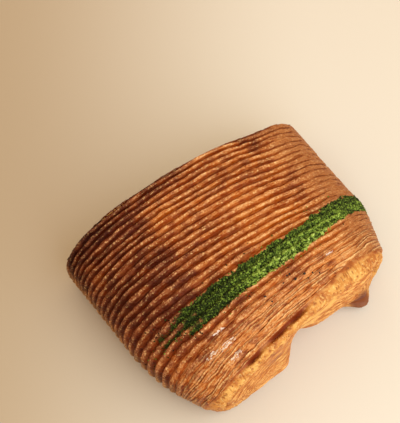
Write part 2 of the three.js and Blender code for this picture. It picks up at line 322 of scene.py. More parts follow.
def ring_piece(name, columns, rings, form, facing, close_last=False):
    """A skin of rings: form(u, v) gives its points in millimetres and its values, with
    u once round and v from the first ring to the last. facing is a direction that the
    outside should look."""
    bm = bmesh.new()
    bmesh.ops.create_grid(bm, x_segments=columns, y_segments=rings, size=0.5)
    mesh = bpy.data.meshes.new(name)
    bm.to_mesh(mesh)
    bm.free()
    flat = np.empty(len(mesh.vertices) * 3)
    mesh.vertices.foreach_get("co", flat)
    u, v = np.clip(flat.reshape(-1, 3)[:, :2].T + 0.5, 0, 1)
    x, y, z, values = form(u, v)
    values["last_ring"] = (v > 0.9999) * 1.0
    mesh.vertices.foreach_set("co", (np.stack([x, y, z], axis=1) * MM).ravel())
    for key, value in values.items():
        kind, field = ("FLOAT_VECTOR", "vector") if value.ndim == 2 else ("FLOAT", "value")
        mesh.attributes.new(key, kind, "POINT").data.foreach_set(field, value.astype(np.float32).ravel())
    bm = bmesh.new()
    bm.from_mesh(mesh)
    bmesh.ops.remove_doubles(bm, verts=bm.verts, dist=WELD_DISTANCE)
    if close_last:
        last = bm.verts.layers.float["last_ring"]
        rim = [edge for edge in bm.edges if edge.is_boundary and all(end[last] > 0.5 for end in edge.verts)]
        bmesh.ops.triangulate(bm, faces=bmesh.ops.holes_fill(bm, edges=rim, sides=0)["faces"])
    bm.normal_update()
    outside = Vector(facing)
    turned = 0
    for face in bm.faces:
        turned += face.normal.dot(outside) * max(0, face.calc_center_median().dot(outside))
        face.smooth = True
    if turned < 0:
        bmesh.ops.reverse_faces(bm, faces=bm.faces)
    bm.to_mesh(mesh)
    bm.free()
    piece = bpy.data.objects.new(name, mesh)
    bpy.context.collection.objects.link(piece)
    return piece


def new_material(name, roughness, coat=0.0, coat_roughness=0.3, specular=0.5):
    """A material with a Principled shader whose plain numbers are set on its sockets."""
    material = bpy.data.materials.new(name)
    material.use_nodes = True
    shader = material.node_tree.nodes["Principled BSDF"]
    shader.inputs["Roughness"].default_value = roughness
    shader.inputs["Coat Weight"].default_value = coat
    shader.inputs["Coat Roughness"].default_value = coat_roughness
    shader.inputs["Specular IOR Level"].default_value = specular
    return material, material.node_tree, shader


def colour(red, green, blue):
    """A screen colour, given from 0 to 255, as a linear colour for a shader."""
    parts = [value / 255 for value in (red, green, blue)]
    linear = [part / 12.92 if part <= 0.04045 else ((part + 0.055) / 1.055) ** 2.4 for part in parts]
    return (*linear, 1.0)


def attribute(tree, name, socket="Fac"):
    """Reads a value that the mesh carries at its points."""
    made = tree.nodes.new("ShaderNodeAttribute")
    made.attribute_name = name
    return made.outputs[socket]


def noise_value(tree, vector, scale, detail, roughness, stretch=(1, 1, 1)):
    """A noise texture over a vector, stretched by a Mapping node."""
    mapping = tree.nodes.new("ShaderNodeMapping")
    mapping.inputs["Scale"].default_value = stretch
    tree.links.new(vector, mapping.inputs["Vector"])
    made = tree.nodes.new("ShaderNodeTexNoise")
    made.inputs["Scale"].default_value = scale
    made.inputs["Detail"].default_value = detail
    made.inputs["Roughness"].default_value = roughness
    tree.links.new(mapping.outputs["Vector"], made.inputs["Vector"])
    return made.outputs["Fac"]


def put(tree, value, socket):
    """Gives a socket its value: another socket, a number or a screen colour."""
    if isinstance(value, tuple):
        socket.default_value = colour(*value)
    elif isinstance(value, (int, float)):
        socket.default_value = value
    else:
        tree.links.new(value, socket)


def maths(tree, operation, first, second, clamp=False):
    """One Math node; each side is a socket or a number."""
    made = tree.nodes.new("ShaderNodeMath")
    made.operation = operation
    made.use_clamp = clamp
    put(tree, first, made.inputs[0])
    put(tree, second, made.inputs[1])
    return made.outputs["Value"]


def ranged(tree, value, low, high, to_low=0.0, to_high=1.0):
    """Eases a value from one range to another."""
    made = tree.nodes.new("ShaderNodeMapRange")
    made.interpolation_type = "SMOOTHSTEP"
    tree.links.new(value, made.inputs["Value"])
    for socket, number in (("From Min", low), ("From Max", high), ("To Min", to_low), ("To Max", to_high)):
        made.inputs[socket].default_value = number
    return made.outputs["Result"]


def ramp(tree, value, *stops):
    """A colour ramp: each stop is its place and its screen colour."""
    made = tree.nodes.new("ShaderNodeValToRGB")
    points = made.color_ramp.elements
    while len(points) < len(stops):
        points.new(0.5)
    for point, (place_on_ramp, shade) in zip(points, stops):
        point.position = place_on_ramp
        point.color = colour(*shade)
    tree.links.new(value, made.inputs["Fac"])
    return made.outputs["Color"]


def blend(tree, share, first, second):
    """Mixes two colours; each is a socket or a screen colour."""
    made = tree.nodes.new("ShaderNodeMix")
    made.data_type = "RGBA"
    factor, colour_a, colour_b, result = made.inputs[0], made.inputs[6], made.inputs[7], made.outputs[2]
    put(tree, share, factor)
    put(tree, first, colour_a)
    put(tree, second, colour_b)
    return result


def stain(tree, base, *layers):
    """Lays shades over a colour: each has the attribute that says where, its strength
    and the shade."""
    for name, strength, shade in layers:
        base = blend(tree, maths(tree, "MULTIPLY", attribute(tree, name), strength), base, shade)
    return base


def bumps(tree, shader, *layers):
    """Small relief, the broadest first: each has its height, its depth in metres and
    its strength."""
    below = None
    for height, depth, strength in layers:
        made = tree.nodes.new("ShaderNodeBump")
        made.inputs["Distance"].default_value = depth
        made.inputs["Strength"].default_value = strength
        tree.links.new(height, made.inputs["Height"])
        if below is not None:
            tree.links.new(below, made.inputs["Normal"])
        below = made.outputs["Normal"]
    tree.links.new(below, shader.inputs["Normal"])


def grain_group():
    """Baked grain: fine blisters and crumbs of a browned surface, as a mask and a height."""
    group = bpy.data.node_groups.new("baked_grain", "ShaderNodeTree")
    for name, way, kind in (
        ("Vector", "INPUT", "NodeSocketVector"), ("Scale", "INPUT", "NodeSocketFloat"),
        ("Mask", "OUTPUT", "NodeSocketFloat"), ("Height", "OUTPUT", "NodeSocketFloat"),
    ):
        group.interface.new_socket(name, in_out=way, socket_type=kind)
    source = group.nodes.new("NodeGroupInput")
    sink = group.nodes.new("NodeGroupOutput")
    coarse = group.nodes.new("ShaderNodeTexNoise")
    coarse.inputs["Detail"].default_value = 5
    coarse.inputs["Roughness"].default_value = 0.65
    pores = group.nodes.new("ShaderNodeTexVoronoi")
    finer = maths(group, "MULTIPLY", source.outputs["Scale"], 2.3)
    group.links.new(source.outputs["Vector"], coarse.inputs["Vector"])
    group.links.new(source.outputs["Vector"], pores.inputs["Vector"])
    group.links.new(source.outputs["Scale"], coarse.inputs["Scale"])
    group.links.new(finer, pores.inputs["Scale"])
    pits = group.nodes.new("ShaderNodeMapRange")
    pits.inputs["From Max"].default_value = 0.7
    group.links.new(pores.outputs["Distance"], pits.inputs["Value"])
    pitting = maths(group, "MULTIPLY", pits.outputs["Result"], 0.35)
    height = maths(group, "ADD", pitting, coarse.outputs["Fac"])
    group.links.new(height, sink.inputs["Height"])
    group.links.new(coarse.outputs["Fac"], sink.inputs["Mask"])
    return group


GRAIN = grain_group()


def grain(tree, scale):
    """The baked grain at one size, over the piece."""
    made = tree.nodes.new("ShaderNodeGroup")
    made.node_tree = GRAIN
    made.inputs["Scale"].default_value = scale
    tree.links.new(tree.nodes.new("ShaderNodeTexCoord").outputs["Object"], made.inputs["Vector"])
    return made.outputs["Mask"], made.outputs["Height"]


def crust_finish():
    """Egg-washed crust: deep brown in the grooves, partly its own colour and partly painted shade, tan and
    grainy on the ridges with painted glints, streaky where they flatten with a painted sheen and painted
    edge highlights, and sugar glaze in places painted with whitish highlights."""
    material, tree, shader = new_material(
        "egg_washed_crust", 0.42, coat=0.05, coat_roughness=0.2, specular=0.12)
    layout = attribute(tree, "layout", "Vector")
    slats, flank = attribute(tree, "slats"), attribute(tree, "flank")
    fine, fine_height = grain(tree, 1500)
    coarse, coarse_height = grain(tree, 620)
    streaks = noise_value(tree, layout, 1.0, 4, 0.6, (0.22, 2.6, 0.7))
    flakes = noise_value(tree, layout, 1.0, 3, 0.6, (1.3, 2.6, 1.7))
    patches = noise_value(tree, layout, 1.0, 2, 0.5, (0.14, 0.24, 0.9))

    # The crust darkens with deeper baking and with painted shade, most at the left side and along the cut.
    bake_and_shade = maths(tree, "ADD", attribute(tree, "bake_and_shade"), ranged(tree, patches, 0.3, 0.7, -0.16, 0.16), True)
    crest = maths(tree, "ADD", attribute(tree, "crest"), ranged(tree, flakes, 0.3, 0.7, -0.28, 0.2))
    crest = maths(tree, "ADD", crest, ranged(tree, streaks, 0.35, 0.65, -0.3, 0.2), True)
    # The groove floors are darker than the ridge tops, partly as the crust's own colour and partly as
    # painted shade; pits on the ridge tops take the floors' colour as painted shade.
    tops = ramp(
        tree, bake_and_shade, (0.0, (216, 146, 80)), (0.3, (196, 120, 60)), (0.62, (128, 66, 32)), (1.0, (66, 26, 12)))
    floors = ramp(
        tree, bake_and_shade, (0.0, (188, 92, 12)), (0.35, (142, 56, 0)), (0.7, (90, 26, 0)), (1.0, (54, 10, 0)))
    floors = blend(tree, ranged(tree, streaks, 0.44, 0.6), floors, blend(tree, 0.45, floors, tops))
    base = blend(tree, ranged(tree, crest, 0.2, 0.75), floors, tops)
    pits = maths(tree, "MULTIPLY", ranged(tree, coarse, 0.5, 0.4), ranged(tree, crest, 0.4, 0.8))
    base = blend(tree, maths(tree, "MULTIPLY", pits, 0.5), base, floors)

    slat_tone = maths(tree, "SUBTRACT", streaks, ranged(tree, bake_and_shade, 0.1, 0.9, -0.06, 0.14), True)
    slat_base = ramp(
        tree, slat_tone,
        (0.38, (108, 44, 8)), (0.45, (176, 88, 26)), (0.52, (204, 114, 44)), (0.62, (234, 166, 98)))
    # A painted mauve sheen: a reflection on the slats, in patches.
    painted_sheen = maths(tree, "MULTIPLY", ranged(tree, patches, 0.54, 0.64), 0.5)
    slat_base = blend(tree, painted_sheen, slat_base, (138, 72, 46))
    leather = ramp(tree, crest, (0.1, (120, 60, 24)), (0.5, (152, 88, 44)), (0.9, (170, 106, 58)))
    base = stain(tree, base, ("slats", 0.7, slat_base), ("flank", 0.8, leather))

    # The painted highlight on the slat edges, broken up by the grain.
    brink_highlight = maths(tree, "MULTIPLY", attribute(tree, "brink_highlight"), ranged(tree, fine, 0.4, 0.54, 0.4, 1.15), True)
    base = blend(tree, brink_highlight, base, (250, 204, 140))
    line = maths(
        tree, "MULTIPLY", attribute(tree, "ridge_line"), ranged(tree, fine, 0.42, 0.56, 0.15, 1.0), True)
    lines = ramp(tree, bake_and_shade, (0.1, (242, 190, 130)), (0.5, (206, 138, 92)), (1.0, (104, 52, 34)))
    base = blend(tree, line, base, lines)
    # The splits and the cracks between slats are painted dark as shade.
    crack_shade = ramp(tree, bake_and_shade, (0.0, (132, 58, 10)), (0.8, (74, 26, 0)))
    pale = ramp(tree, crest, (0.0, (132, 80, 30)), (1.0, (200, 150, 86)))
    base = stain(tree, base, ("split", 1.0, crack_shade), ("pale", 0.75, pale))

    # Painted glints: small highlights on the grainy ridge tops, weaker where the crust is darker, on the
    # flank and on the slats.
    painted_glints = maths(tree, "MULTIPLY", ranged(tree, fine, 0.53, 0.63), ranged(tree, crest, 0.4, 0.8))
    painted_glints = maths(tree, "MULTIPLY", painted_glints, ranged(tree, bake_and_shade, 0.2, 0.95, 0.9, 0.4))
    flatter = ranged(tree, maths(tree, "MAXIMUM", flank, slats), 0.0, 1.0, 1.0, 0.3)
    base = blend(tree, maths(tree, "MULTIPLY", painted_glints, flatter), base, (250, 206, 140))
    # Painted highlights on the sugar glaze: whitish streaks in patches and at the listed places.
    sugar_highlight = noise_value(tree, layout, 1.0, 3, 0.6, (0.6, 2.4, 1.0))
    sugar_highlight = maths(tree, "ADD", ranged(tree, sugar_highlight, 0.35, 0.65), attribute(tree, "glaze_highlight"))
    sugar_highlight = maths(tree, "MULTIPLY", ranged(tree, sugar_highlight, 1.26, 1.42), 0.85)
    base = blend(tree, sugar_highlight, base, (250, 232, 216))

    powder = attribute(tree, "powder")
    # The dust under the grains is dark green, partly the powder's own colour and partly painted shade in the
    # gaps between grains.
    dust = ramp(tree, fine, (0.35, (12, 20, 3)), (0.5, (34, 46, 10)), (0.65, (80, 100, 28)))
    base = blend(tree, ranged(tree, powder, 0.25, 0.7), base, dust)
    tree.links.new(base, shader.inputs["Base Color"])
    rough = ranged(tree, streaks, 0.3, 0.7, 0.34, 0.56)
    rough = maths(tree, "ADD", rough, maths(tree, "MULTIPLY", powder, 0.4), True)
    tree.links.new(rough, shader.inputs["Roughness"])
    tree.links.new(ranged(tree, powder, 0.6, 0.2, 0.0, 0.05), shader.inputs["Coat Weight"])
    bumps(tree, shader, (flakes, 0.0004, 0.7), (coarse_height, 0.0003, 0.7), (fine_height, 0.00018, 0.9))
    return material


CRUST_COLUMNS, CRUST_RINGS = 640, 150
COLUMNS_UNDERNEATH = 0.08  # share of the columns, at each side
FIRST_JOIN, SECOND_JOIN = 10.5, 18.5  # grooves where one mesh of crust meets the next


def favour_crown(u):
    """Gives the crown more of the columns than the base."""
    return np.interp(
        u, (0, COLUMNS_UNDERNEATH, 1 - COLUMNS_UNDERNEATH, 1), (0, BELLY_SHARE, 1 - BELLY_SHARE, 1))


def crust_form(first_phase, last_phase):
    """Rings spaced evenly over the ridges, so that each ridge gets its share."""
    def form(u, v):
        u = favour_crown(u)
        distance = np.interp(first_phase + (last_phase - first_phase) * v, np.arange(len(CRESTS)), CRESTS)
        distance = distance - (LENGTH - sheet_edge(section(u)[0])) * smoothstep(44, LENGTH, distance)
        x, z, values = skin(u, distance)
        return (*place(x, z, distance), values)
    return form


phase_at_cut, phase_at_end = np.interp((0, LENGTH), CRESTS, np.arange(len(CRESTS)))
baked_crust = crust_finish()
for crust_name, first_phase, last_phase in (
    ("scored_crust_by_cut", phase_at_cut, FIRST_JOIN),
    ("scored_crust_in_middle", FIRST_JOIN, SECOND_JOIN),
    ("scored_crust_by_end", SECOND_JOIN, phase_at_end),
):
    crust_rings = crust_form(first_phase, last_phase)
    crust = ring_piece(crust_name, CRUST_COLUMNS, CRUST_RINGS, crust_rings, (0, 0, 1))
    crust.data.materials.append(baked_crust)
    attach(crust, "root")
    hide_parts("dough")


# --- Folded end -------------------------------------------------------------------
# The end of the roll, where the edges of the many thin dough layers show. A grainy
# golden lip runs under the scored sheet, and below it the layers fold into two flaps
# that curl at their tips.

END_COLUMNS, END_RINGS = 780, 124
CORE_HALF_WIDTH, CORE_Z, CORE_STANDS = 27.0, 13.0, 2.1
ALMOST_ALL = 0.996  # of the way to the core, so that the last ring keeps a width
CREVICES = ((-3.5, 4.5), (-13.0, 4.5), (-25.0, 4.0))  # middle, width
LIP_PROFILE = (  # way from the sheet's edge, inset, how far it stands out
    (0.0, 0.0, 0.0), (0.03, 0.25, -0.05), (0.07, 0.8, -0.55), (0.11, 1.1, 0.2), (0.16, 1.4, 1.2),
    (0.24, 2.3, 2.2), (0.33, 3.6, 2.8), (0.41, 5.0, 2.9), (0.46, 5.8, 2.1), (0.49, 6.1, 0.8),
    (0.53, 6.7, 1.3), (0.6, 7.9, 2.2),
)
FLAP_PROFILE = ((7.9, 2.2), (10.0, 2.6), (13.0, 2.4), (24.0, 2.0))  # inset, how far it stands out
LAYER_PITCH, LEAVES_IN_LAYER = 2.0, 2.7
BROWN_SKIN = (-4.6, 20.0, 6.4, 4.0, 0.3)  # middle x and z, half width and height, softness
PALE_SKINS = ((7.6, 21.0, 4.4, 4.0, 0.26), (14.5, 23.0, 5.2, 2.0, 0.3))
DARK_TIP = (31.4, 4.6, 3.8, 3.8)  # middle x and z, half width and height
LINE_DEPTH, FINE_LINE_DEPTH, NOTCH_DEPTH = 0.6, 0.18, 2.6


def inward(x, z):
    """From a point of the skin towards the core line: a unit direction and how far."""
    run, rise = np.clip(x, -CORE_HALF_WIDTH, CORE_HALF_WIDTH) - x, CORE_Z - z
    length = np.hypot(run, rise)
    return run / length, rise / length, length


def blob(x, z, middle_x, middle_z, wide, high, soft=0.35):
    """1 inside an upright ellipse and 0 outside it, over a soft edge."""
    out = np.hypot((x - middle_x) / wide, (z - middle_z) / high)
    return 1 - smoothstep(1 - soft, 1 + soft, out)


def layer_lines(x, field):
    """The lines between the folded layers, and between the thinner leaves in each, where the end is grooved
    and painted darker as shade.
    """
    layer, leaf = np.round(field), np.round(field * LEAVES_IN_LAYER)
    line = 1 - smoothstep(0.0, 0.34, np.abs(field - layer) * 2)
    line = line * (0.65 + 0.35 * noise(x / 5, layer * 4.3, 25))
    fine_line = 1 - smoothstep(0.0, 0.5, np.abs(field * LEAVES_IN_LAYER - leaf) * 2)
    fine_line = fine_line * smoothstep(-0.4, 0.4, noise(x / 6, leaf * 2.9, 29))
    return np.clip(line, 0, 1), fine_line


def end_form(u, v):
    """From the edge of the scored sheet, over the lip and its crease, to the core."""
    u = favour_crown(u)
    edge = sheet_edge(section(u)[0])
    x, z, _ = skin(u, edge)
    run, rise, length = inward(x, z)
    crevice = sum(hill(x - middle, wide) for middle, wide in CREVICES) * smoothstep(14, 22, z)
    way, insets, outs = np.array(LIP_PROFILE).T
    past_lip = np.clip((v - way[-1]) / (1 - way[-1]), 0, 1)
    inset = np.interp(v, way, insets) + (ALMOST_ALL * length - insets[-1]) * past_lip
    out = np.where(v < way[-1], np.interp(v, way, outs), np.interp(inset, *np.array(FLAP_PROFILE).T))
    at_core = smoothstep(0.75, 1, past_lip)
    out = out + (CORE_STANDS - out) * at_core
    inset = inset + 2.6 * crevice * hill(v - 0.12, 0.05)
    x, z = x + run * inset, z + rise * inset
    across, up = spread_at(x, z, LENGTH)

    rim = v + 0.012 * noise(x / 1.6, z / 1.6, 20)
    lip = smoothstep(0.12, 0.15, rim) * (1 - smoothstep(0.44, 0.47, rim))
    flap = smoothstep(0.48, 0.52, rim)
    gap = 0.5 * hill(v - 0.085, 0.035) + crevice * hill(v - 0.11, 0.05)
    grainy = noise(x / 0.5, z / 0.5, 21) + 0.7 * noise(x / 1.1, z / 1.1, 22)
    pitted = smoothstep(0.3, 0.75, noise(x / 0.6, z / 0.55, 23))

    nested = inset + 1.1 * noise(x / 14, z / 8, 24) + 0.2 * noise(x / 4, z / 3, 28)
    field = nested / (LAYER_PITCH - 0.5 * smoothstep(18, 34, x))
    ragged_x = across + 1.3 * noise(x / 3, z / 2, 45) + 0.4 * noise(x, z, 46)
    ragged_z = up + noise(x / 3, z / 2, 47)
    torn = 0.15 + 0.85 * smoothstep(-0.45, 0.1, noise(x / 9, field * 1.1, 48))
    brown_skin = blob(ragged_x, ragged_z, *BROWN_SKIN) * flap * torn
    pale_skin = np.maximum.reduce([blob(ragged_x, ragged_z, *patch) for patch in PALE_SKINS])
    pale_skin = pale_skin * flap * torn
    smooth = np.maximum(brown_skin, pale_skin)
    line, fine_line = layer_lines(x, field)
    line = line * flap * (1 - 0.9 * smooth) * (1 - at_core)
    fine_line = fine_line * flap * (1 - smooth) * (1 - at_core)
    notch = smoothstep(7.2, 8.4, across) * (1 - smoothstep(13.4, 14.8, across))
    notch = notch * (1 - smoothstep(10.6, 13.6, up))

    out = out + lip * (0.16 * grainy - 0.34 * pitted)
    out = out - LINE_DEPTH * line - FINE_LINE_DEPTH * fine_line - NOTCH_DEPTH * notch
    out = out + 0.1 * noise(x / 1.2, z / 1.2, 26) * flap + 0.3 * noise(x / 7, z / 5, 27) * flap
    out = out - 0.5 * hill(x + 37, 9) * smoothstep(0.1, 0.2, v)
    # The crease, the crevices under the sheet, the lines between layers, the pits on the lip and the notch
    # are marked to be painted darker as shade.
    values = {
        "lip": lip, "gap": np.clip(gap, 0, 1), "crease_shade": hill(v - 0.485, 0.022), "line": line,
        "fine_line": fine_line, "pitted": pitted * lip, "brown_skin": brown_skin, "pale_skin": pale_skin,
        "tip": blob(across, up, *DARK_TIP), "notch": notch, "low": 1 - smoothstep(1, 7, up),
        "spread": np.stack([x, z, nested], axis=1),
    }
    distance = LENGTH - (LENGTH - edge) * (1 - smoothstep(0.03, 0.3, v))
    return (*place(x, z, distance, out), values)


def end_finish():
    """Golden, lightly baked layer edges, painted darker as shade in the folds, crevices, crease, pits and
    notch.
    """
    material, tree, shader = new_material(
        "golden_layers", 0.5, coat=0.05, coat_roughness=0.35, specular=0.25)
    spread = attribute(tree, "spread", "Vector")
    fine, fine_height = grain(tree, 1300)
    patchy = noise_value(tree, spread, 0.22, 4, 0.6)
    streaks = noise_value(tree, spread, 1.0, 4, 0.65, (0.22, 0.22, 1.3))
    gold = ramp(tree, patchy, (0.34, (176, 100, 40)), (0.5, (204, 136, 60)), (0.64, (226, 170, 90)))
    layered = ramp(tree, streaks, (0.34, (158, 84, 32)), (0.48, (200, 124, 56)), (0.6, (232, 174, 98)))
    brown = ramp(tree, patchy, (0.35, (124, 60, 34)), (0.6, (176, 104, 60)))
    # The lines between layers and the pits on the lip are painted darker as shade.
    base = stain(
        tree, layered,
        ("lip", 1.0, gold), ("fine_line", 0.5, (150, 76, 26)), ("line", 0.9, (118, 50, 10)),
        ("pitted", 0.8, (150, 78, 22)),
    )
    crumbs = maths(tree, "MULTIPLY", ranged(tree, fine, 0.53, 0.65), attribute(tree, "lip"))
    base = blend(tree, maths(tree, "MULTIPLY", crumbs, 0.6), base, (246, 206, 128))
    # Painted shade in the crevices, the crease and the notch.
    base = stain(
        tree, base,
        ("pale_skin", 0.8, (230, 176, 94)), ("brown_skin", 0.85, brown), ("tip", 1.0, (112, 58, 38)),
        ("gap", 1.0, (134, 52, 8)), ("crease_shade", 0.8, (140, 66, 22)), ("low", 0.5, (176, 112, 52)),
        ("notch", 0.2, (150, 84, 34)),
    )
    tree.links.new(base, shader.inputs["Base Color"])
    bumps(tree, shader, (streaks, 0.0004, 0.5), (fine_height, 0.00018, 0.8))
    return material


folded_end = ring_piece("folded_end", END_COLUMNS, END_RINGS, end_form, (0, -1, 0), close_last=True)
folded_end.data.materials.append(end_finish())
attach(folded_end, "root")
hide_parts("dough")


# --- Crumb at the cut -------------------------------------------------------------
# The inside where the roll was cut: a thin toasted rim of flaky layers, a pale open
# crumb tinted green by the filling, and large steam hollows that run back from the
# cut between thin walls.

FACE_COLUMNS, FACE_RINGS = 600, 165
SMALL_HOLLOWS = (  # x, z, tilt in degrees, half width, depth, half height
    (-41.6, 13.2, 8.0, 1.7, 4.5, 4.2),
    (-43.0, 8.2, 14.0, 1.2, 2.6, 2.4),
    (43.0, 8.7, -14.0, 1.7, 2.0, 3.4),
    (-29.0, 30.4, 1.0, 6.0, 2.4, 0.5),
    (7.2, 31.4, 0.0, 0.9, 0.9, 0.7),
)
BROWN_BUBBLE = (43.0, 8.7, 2.4, 4.0)  # middle x and z, half width and height
HOLLOW_EDGES = {  # the lower and the upper edge
    "upper": (
        (
            (-27.5, 27.0), (-20, 25.2), (-13, 23.4), (-5, 23.6), (5, 24.6), (13, 25.6), (18, 27.6),
            (21.5, 29.4),
        ),
        ((-27.5, 27.1), (-22, 29.0), (-14, 30.6), (-6, 31.0), (4, 30.8), (14, 30.4), (21.5, 29.5)),
    ),
    "right": (
        ((3.8, 14.6), (7, 11.2), (12, 9.2), (20, 9.1), (26, 11.0), (33, 11.9), (38, 16.0)),
        (
            (3.8, 15.0), (5.5, 17.4), (8, 19.5), (13, 20.6), (18, 23.8), (22, 26.0), (28, 26.6),
            (33, 24.6), (36, 21.5), (38, 16.4),
        ),
    ),
    "left": (
        ((-33.4, 18.0), (-31, 15.2), (-27, 14.2), (-23, 14.8), (-20.5, 18.0)),
        ((-33.4, 18.4), (-31.5, 21.6), (-27, 22.0), (-23.5, 19.8), (-20.5, 18.4)),
    ),
    "membrane": (
        (
            (-33, 21.8), (-27, 21.9), (-23.5, 19.6), (-20, 19.0), (-12, 18.0), (-5, 15.4), (0, 15.2),
            (4, 16.4), (8, 19.4), (13, 20.8),
        ),
        (
            (-33, 23.0), (-27, 24.2), (-20, 22.0), (-12, 20.4), (-5, 19.8), (0, 20.2), (5, 20.9),
            (10, 21.0), (13, 21.1),
        ),
    ),
}
HOLLOW_DEPTHS = {"upper": 17.0, "right": 16.0, "left": 12.0, "membrane": 2.6}
HOLLOW_WALLS = {  # height of the deepest place as a share, steepness below it and above it
    "upper": (0.8, 1.3, 0.4),
    "right": (0.35, 0.35, 0.95),
    "left": (0.5, 0.35, 0.35),
    "membrane": (0.55, 0.6, 0.9),
}
WEB_PITCH, WEB_STANDS = 1.9, 0.62
TORN_FLAP = np.array((
    (12.8, 21.8), (17.4, 21.8), (17.2, 18.4), (15.2, 15.6), (13.4, 13.2), (12.0, 13.6), (13.0, 16.4),
    (13.2, 18.6),
))
FILLING_TOP = (
    (38.8, 5.6), (37.2, 9.6), (33.0, 11.9), (26.3, 11.2), (20.0, 9.1), (12.3, 9.2), (7.0, 11.2),
    (3.0, 15.0), (-3.0, 14.9), (-10.3, 17.4), (-18.0, 18.6), (-23.5, 14.8), (-31.4, 13.8),
    (-35.0, 11.4), (-36.2, 8.0),
)
FILLING_BASE = ((-34.0, 4.6), (-26.0, 3.1), (0.0, 3.3), (26.0, 2.9), (35.0, 3.6))
FILLING_OUTLINE = np.array(FILLING_TOP + FILLING_BASE)
FILLING_RECESS = 16.0
RIM_WIDTH, LEAF_PITCH = 2.5, 0.85
PORE_SIZE, BUBBLE_SIZE = 0.8, 1.9


def depth_inside(outline, x, z):
    """How far points lie inside a closed outline; below zero outside it."""
    nearest = np.full(x.shape, np.inf)
    inside = np.zeros(x.shape, bool)
    for (x0, z0), (x1, z1) in zip(outline, np.roll(outline, -1, axis=0)):
        run, rise = x1 - x0, z1 - z0
        share = np.clip(((x - x0) * run + (z - z0) * rise) / (run * run + rise * rise), 0, 1)
        nearest = np.minimum(nearest, np.hypot(x - x0 - run * share, z - z0 - rise * share))
        crosses = (z0 > z) != (z1 > z)
        inside ^= crosses & (x < x0 + run * (z - z0) / (rise if rise else TINY))
    return np.where(inside, nearest, -nearest)


JITTER_CELLS = 96  # along each side, before the jitter repeats


def cells(x, z, size, seed):
    """Distance to the nearest point of a jittered grid, in grid cells."""
    jitter = np.random.default_rng(seed).uniform(0.1, 0.9, (2, JITTER_CELLS, JITTER_CELLS))
    column, row = np.floor(x / size).astype(int), np.floor(z / size).astype(int)
    nearest = np.full(x.shape, np.inf)
    for aside in (-1, 0, 1):
        for above in (-1, 0, 1):
            c, r = column + aside, row + above
            shift_x, shift_z = jitter[:, c % JITTER_CELLS, r % JITTER_CELLS]
            nearest = np.minimum(nearest, np.hypot(x / size - c - shift_x, z / size - r - shift_z))
    return nearest


def hollow_share(name, x, z):
    """Share of its full depth that a hollow has at each point."""
    (lower_x, lower_z), (upper_x, upper_z) = (np.array(edge).T for edge in HOLLOW_EDGES[name])
    deepest, steep_below, steep_above = HOLLOW_WALLS[name]
    low, high = np.interp(x, lower_x, lower_z), np.interp(x, upper_x, upper_z)
    way = (z - low) / np.maximum(high - low, 0.02)
    along = np.clip(2 * (x - lower_x[0]) / (lower_x[-1] - lower_x[0]) - 1, -1, 1)
    below = np.clip(way / deepest, 0, 1) ** steep_below
    above = np.clip((1 - way) / (1 - deepest), 0, 1) ** steep_above
    return np.where(way < deepest, below, above) * np.sqrt(1 - along ** 4)


def small_hollow_depth(x, z):
    """Depth of the small tilted bubbles."""
    depth = 0
    for middle_x, middle_z, tilt, wide, back, high in SMALL_HOLLOWS:
        cos, sin = math.cos(math.radians(tilt)), math.sin(math.radians(tilt))
        along = ((x - middle_x) * cos + (z - middle_z) * sin) / wide
        across = ((z - middle_z) * cos - (x - middle_x) * sin) / high
        depth = np.maximum(depth, back * np.sqrt(np.clip(1 - along ** 2 - across ** 2, 0, 1)))
    return depth


def web_strands(x, z, upper_share):
    """Thin webs of dough that stand across the back of the upper hollow."""
    phase = (x + 0.9 * (z - 28)) / WEB_PITCH + 0.5 * noise(x / 3, z / 3, 43)
    web = hill(phase - np.round(phase), 0.1) * smoothstep(-15, -12, x) * (1 - smoothstep(2, 5, x))
    return web * smoothstep(0.3, 0.6, upper_share) * smoothstep(-0.4, 0.1, noise(x / 2.2, 3.0, 44))


def rim_layers(x, z, inset):
    """The toasted rim, thick at the upper left and thin below, and the gaps between its
    flaky leaves."""
    wide = RIM_WIDTH + 1.2 * smoothstep(24, 33, z) + 2.4 * hill(x + 29, 11) * smoothstep(15, 26, z)
    wide = wide + 0.7 * hill(x - 40, 8) - 0.9 * (1 - smoothstep(1, 8, z)) + 0.5 * noise(x / 2.1, z / 2.1, 32)
    toast = 1 - smoothstep(0.55 * wide, wide, inset)
    leaf = (inset + 0.35 * noise(x / 6, z / 6, 33)) / LEAF_PITCH
    gap = (1 - smoothstep(0.0, 0.45, np.abs(leaf - np.round(leaf)) * 2)) * toast
    gap = gap * smoothstep(0.3, 0.6, inset)
    return toast, gap * smoothstep(-0.3, 0.5, noise(x / 4.5, np.round(leaf) * 3.7, 34))


